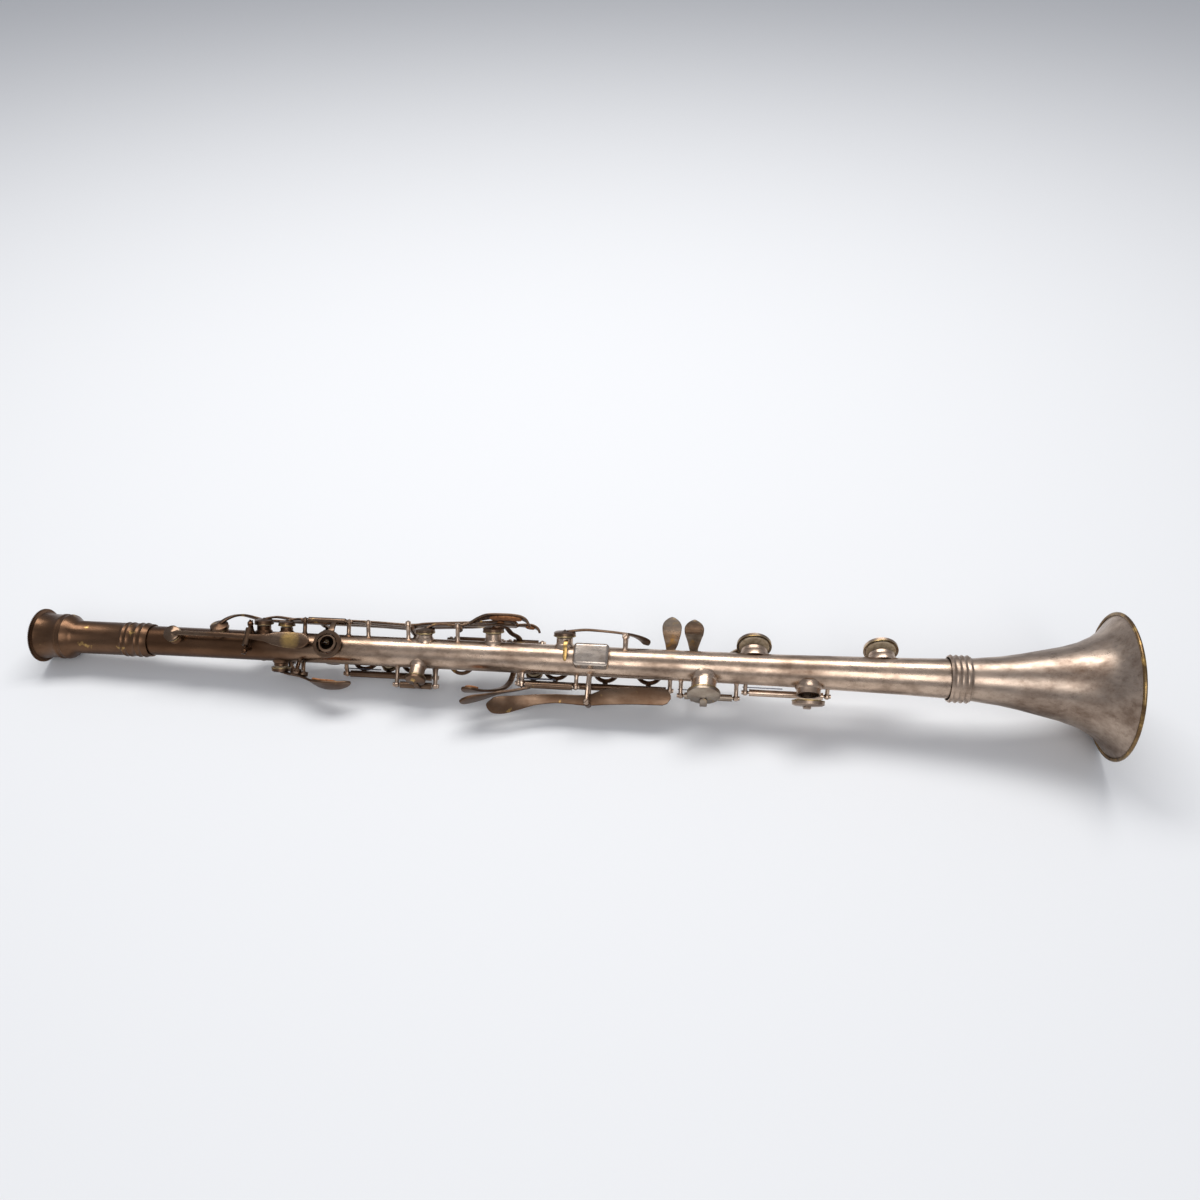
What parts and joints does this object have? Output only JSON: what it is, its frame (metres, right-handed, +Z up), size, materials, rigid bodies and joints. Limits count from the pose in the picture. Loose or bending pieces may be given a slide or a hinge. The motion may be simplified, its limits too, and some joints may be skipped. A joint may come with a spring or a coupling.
{
  "type": "clarinet",
  "caption": "Metal clarinet body without mouthpiece: flared bell, milled barrel, tone holes on chimneys and sprung keys with ring keys.",
  "frame": {"origin": "on the surface the instrument lies on, under the middle of its bounding box", "axes": "+X along the tube towards the bell, +Y away from the side that shows the thumb hole, +Z up"},
  "size_m": [0.5966, 0.0778, 0.0779],
  "materials": {
    "warm_silver": "warm tarnished silver plate",
    "grey_silver": "grey tarnished silver plate",
    "worn_brass": "worn bare brass",
    "tarnished_silver": "tarnished nickel silver, worn satin",
    "pad_leather": "matt pad skin",
    "dark_bronze": "darkly tarnished plate"
  },
  "bodies": {
    "body": {"body_tube": "warm_silver", "bell": "grey_silver", "bell_rim_wire": "worn_brass", "bell_ferrule": "grey_silver", "thumb_rest": "warm_silver"},
    "register_key": {"register_key": "tarnished_silver", "register_key_pad": "pad_leather"},
    "thumb_ring_key": {"thumb_ring_key": "tarnished_silver", "thumb_ring_key_pad": "pad_leather"},
    "a_key": {"a_key": "tarnished_silver", "a_key_pad": "pad_leather"},
    "throat_gsharp_key": {"throat_gsharp_key": "tarnished_silver", "throat_gsharp_key_pad": "pad_leather"},
    "side_trill_four_key": {"side_trill_four_key": "tarnished_silver", "side_trill_four_key_pad": "pad_leather"},
    "side_trill_three_key": {"side_trill_three_key": "tarnished_silver", "side_trill_three_key_pad": "pad_leather"},
    "side_fsharp_key": {"side_fsharp_key": "tarnished_silver", "side_fsharp_key_pad": "pad_leather"},
    "side_eflat_key": {"side_eflat_key": "tarnished_silver", "side_eflat_key_pad": "pad_leather"},
    "upper_ring_key": {"upper_ring_key": "tarnished_silver", "upper_ring_key_pad": "pad_leather"},
    "third_ring_key": {"third_ring_key": "tarnished_silver", "third_ring_key_pad": "pad_leather"},
    "lower_ring_key": {"lower_ring_key": "tarnished_silver", "lower_ring_key_pad": "pad_leather"},
    "eflat_sliver_key": {"eflat_sliver_key": "tarnished_silver", "eflat_sliver_key_pad": "pad_leather"},
    "csharp_gsharp_key": {"csharp_gsharp_key": "tarnished_silver", "csharp_gsharp_key_pad": "pad_leather"},
    "b_fsharp_cross_key": {"b_fsharp_cross_key": "tarnished_silver", "b_fsharp_cross_key_pad": "pad_leather"},
    "aflat_eflat_key": {"aflat_eflat_key": "warm_silver", "aflat_eflat_key_pad": "pad_leather"},
    "fsharp_csharp_key": {"fsharp_csharp_key": "warm_silver", "fsharp_csharp_key_pad": "pad_leather"},
    "f_c_key": {"f_c_key": "warm_silver", "f_c_key_pad": "pad_leather"},
    "e_b_key": {"e_b_key": "warm_silver", "e_b_key_pad": "pad_leather"},
    "left_e_b_lever": {"left_e_b_lever": "tarnished_silver"},
    "left_f_c_lever": {"left_f_c_lever": "tarnished_silver"},
    "barrel": {"barrel": "dark_bronze"}
  },
  "joints": [
    {"name": "register_key_hinge", "type": "hinge", "parent": "body", "child": "register_key", "pos_m": [-0.17029, -0.00494, 0.03204], "axis": [-0.0155, 0.9205, 0.3904], "range_deg": [0, 2.34], "stiffness_Nm_per_rad": 0.06},
    {"name": "thumb_ring_key_hinge", "type": "hinge", "parent": "body", "child": "thumb_ring_key", "pos_m": [-0.12907, 0.01044, 0.03363], "axis": [-0.9992, 0, -0.0397], "range_deg": [0, 4.99], "stiffness_Nm_per_rad": 0.06},
    {"name": "a_key_hinge", "type": "hinge", "parent": "body", "child": "a_key", "pos_m": [-0.15139, 0.00546, 0.00994], "axis": [0.0174, -0.8988, -0.438], "range_deg": [0, 5.73], "stiffness_Nm_per_rad": 0.06},
    {"name": "throat_gsharp_key_hinge", "type": "hinge", "parent": "body", "child": "throat_gsharp_key", "pos_m": [-0.14155, -0.0124, 0.01407], "axis": [-0.0341, -0.515, 0.8565], "range_deg": [0, 8.44], "stiffness_Nm_per_rad": 0.06},
    {"name": "side_trill_four_key_hinge", "type": "hinge", "parent": "body", "child": "side_trill_four_key", "pos_m": [-0.08097, 0.0146, 0.02572], "axis": [0.0357, 0.4384, -0.8981], "range_deg": [0, 1.76], "stiffness_Nm_per_rad": 0.06},
    {"name": "side_trill_three_key_hinge", "type": "hinge", "parent": "body", "child": "side_trill_three_key", "pos_m": [-0.08108, 0.0132, 0.0286], "axis": [0.0357, 0.4384, -0.8981], "range_deg": [0, 1.08], "stiffness_Nm_per_rad": 0.06},
    {"name": "side_fsharp_key_hinge", "type": "hinge", "parent": "body", "child": "side_fsharp_key", "pos_m": [-0.0812, 0.01179, 0.03147], "axis": [0.0357, 0.4384, -0.8981], "range_deg": [0, 1.41], "stiffness_Nm_per_rad": 0.06},
    {"name": "side_eflat_key_hinge", "type": "hinge", "parent": "body", "child": "side_eflat_key", "pos_m": [-0.05333, 0.01039, 0.03546], "axis": [0.0357, 0.4384, -0.8981], "range_deg": [0, 2.85], "stiffness_Nm_per_rad": 0.06},
    {"name": "upper_ring_key_hinge", "type": "hinge", "parent": "body", "child": "upper_ring_key", "pos_m": [-0.09183, -0.00513, 0.0094], "axis": [0.9992, 0, 0.0397], "range_deg": [0, 9.17], "stiffness_Nm_per_rad": 0.06},
    {"name": "third_ring_key_hinge", "type": "hinge", "parent": "body", "child": "third_ring_key", "pos_m": [-0.04555, 0.01467, 0.02223], "axis": [-0.9992, 0, -0.0397], "range_deg": [0, 9.17], "stiffness_Nm_per_rad": 0.06},
    {"name": "lower_ring_key_hinge", "type": "hinge", "parent": "body", "child": "lower_ring_key", "pos_m": [0.02356, -0.00658, 0.01461], "axis": [0.9992, 0, 0.0397], "range_deg": [0, 8.2], "stiffness_Nm_per_rad": 0.06},
    {"name": "eflat_sliver_key_hinge", "type": "hinge", "parent": "body", "child": "eflat_sliver_key", "pos_m": [-0.0754, -0.01295, 0.01165], "axis": [0.9992, 0, 0.0397], "range_deg": [0, 7.42], "stiffness_Nm_per_rad": 0.06},
    {"name": "csharp_gsharp_key_hinge", "type": "hinge", "parent": "body", "child": "csharp_gsharp_key", "pos_m": [-0.01707, 0.01467, 0.02336], "axis": [-0.9992, 0, -0.0397], "range_deg": [0, 5.48], "stiffness_Nm_per_rad": 0.06},
    {"name": "b_fsharp_cross_key_hinge", "type": "hinge", "parent": "body", "child": "b_fsharp_cross_key", "pos_m": [0.03961, 0.01041, 0.0388], "axis": [0.0286, 0.6947, -0.7188], "range_deg": [0, 2.78], "stiffness_Nm_per_rad": 0.06},
    {"name": "aflat_eflat_key_hinge", "type": "hinge", "parent": "body", "child": "aflat_eflat_key", "pos_m": [0.0865, -0.0097, 0.01724], "axis": [0.9992, 0, 0.0397], "range_deg": [0, 7.26], "stiffness_Nm_per_rad": 0.06},
    {"name": "fsharp_csharp_key_hinge", "type": "hinge", "parent": "body", "child": "fsharp_csharp_key", "pos_m": [0.08251, 0.01244, 0.02205], "axis": [0.9992, 0, 0.0397], "range_deg": [0, 10.45], "stiffness_Nm_per_rad": 0.06},
    {"name": "f_c_key_hinge", "type": "hinge", "parent": "body", "child": "f_c_key", "pos_m": [0.12851, -0.00413, 0.01784], "axis": [-0.9992, 0, -0.0397], "range_deg": [0, 10.28], "stiffness_Nm_per_rad": 0.06},
    {"name": "e_b_key_hinge", "type": "hinge", "parent": "body", "child": "e_b_key", "pos_m": [0.14876, 0.01268, 0.02452], "axis": [0.9993, 0.006, 0.0357], "range_deg": [0, 10.1], "stiffness_Nm_per_rad": 0.06},
    {"name": "left_e_b_lever_hinge", "type": "hinge", "parent": "body", "child": "left_e_b_lever", "pos_m": [-0.00063, -0.0121, 0.01897], "axis": [-0.9992, 0, -0.0397], "range_deg": [0, 5], "stiffness_Nm_per_rad": 0.06},
    {"name": "left_f_c_lever_hinge", "type": "hinge", "parent": "body", "child": "left_f_c_lever", "pos_m": [0.02153, -0.01944, 0.01538], "axis": [0.0333, 0.5446, -0.838], "range_deg": [0, 1.5], "stiffness_Nm_per_rad": 0.06},
    {"name": "barrel_tuning_slide", "type": "slide", "parent": "body", "child": "barrel", "axis": [-0.9992, 0, -0.0397], "range_m": [0, 0.004]}
  ],
  "couplings": [
    {"joint": "left_e_b_lever_hinge", "follows": "e_b_key_hinge", "ratio": 0.495},
    {"joint": "left_f_c_lever_hinge", "follows": "f_c_key_hinge", "ratio": 0.1459},
    {"joint": "thumb_ring_key_hinge", "follows": "upper_ring_key_hinge", "ratio": 0.5446}
  ]
}
